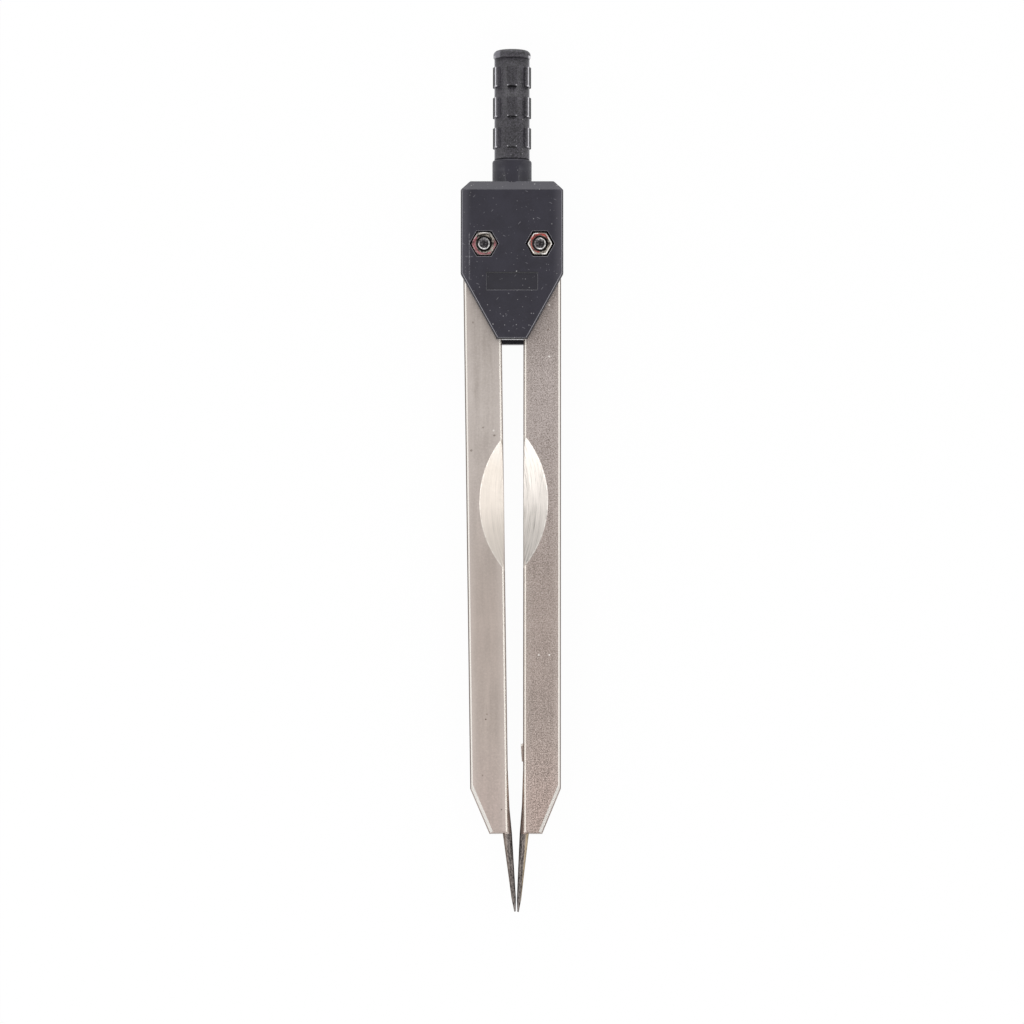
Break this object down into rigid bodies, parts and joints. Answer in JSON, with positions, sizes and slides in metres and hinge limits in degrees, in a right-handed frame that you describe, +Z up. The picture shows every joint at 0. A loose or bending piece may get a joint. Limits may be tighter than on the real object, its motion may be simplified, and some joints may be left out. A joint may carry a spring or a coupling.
{
  "type": "caliper divider",
  "caption": "Drafting divider: two flat metal legs with steel needle points, geared and hinged side by side in a black yoke under a short padded grip.",
  "frame": {"origin": "middle of the length, on the surface that the back of the yoke lies on", "axes": "+Y from the needle tips to the grip, +X to the right seen from the front, +Z up out of the face with the two nuts"},
  "size_m": [0.0136, 0.115, 0.0071],
  "materials": {
    "yoke_plastic": "smooth satin black plastic",
    "grip_plastic": "finely speckled black plastic",
    "leg_metal": "satin champagne, bright milled bevels and scallops",
    "needle_steel": "dark ground steel with brown streaks",
    "screw_steel": "zinc plated",
    "nut_steel": "nickel plated, traces of red thread lock paint",
    "washer_brass": "plain"
  },
  "bodies": {
    "yoke": {"yoke": "yoke_plastic", "grip": "grip_plastic", "left_screw": "screw_steel", "right_screw": "screw_steel", "left_nut": "nut_steel", "right_nut": "nut_steel", "front_left_washer": "washer_brass", "front_right_washer": "washer_brass", "rear_left_washer": "washer_brass", "rear_right_washer": "washer_brass"},
    "left_leg": {"left_leg": "leg_metal", "left_needle": "needle_steel"},
    "right_leg": {"right_leg": "leg_metal", "right_needle": "needle_steel"}
  },
  "joints": [
    {"name": "left_leg_swing", "type": "hinge", "parent": "yoke", "child": "left_leg", "pos_m": [-0.00373, 0.03121, 0.00353], "axis": [0, 0, -1], "range_deg": [0, 60]},
    {"name": "right_leg_swing", "type": "hinge", "parent": "yoke", "child": "right_leg", "pos_m": [0.00373, 0.03121, 0.00353], "axis": [0, 0, 1], "range_deg": [0, 60]}
  ],
  "couplings": [
    {"joint": "right_leg_swing", "follows": "left_leg_swing", "ratio": 1}
  ]
}
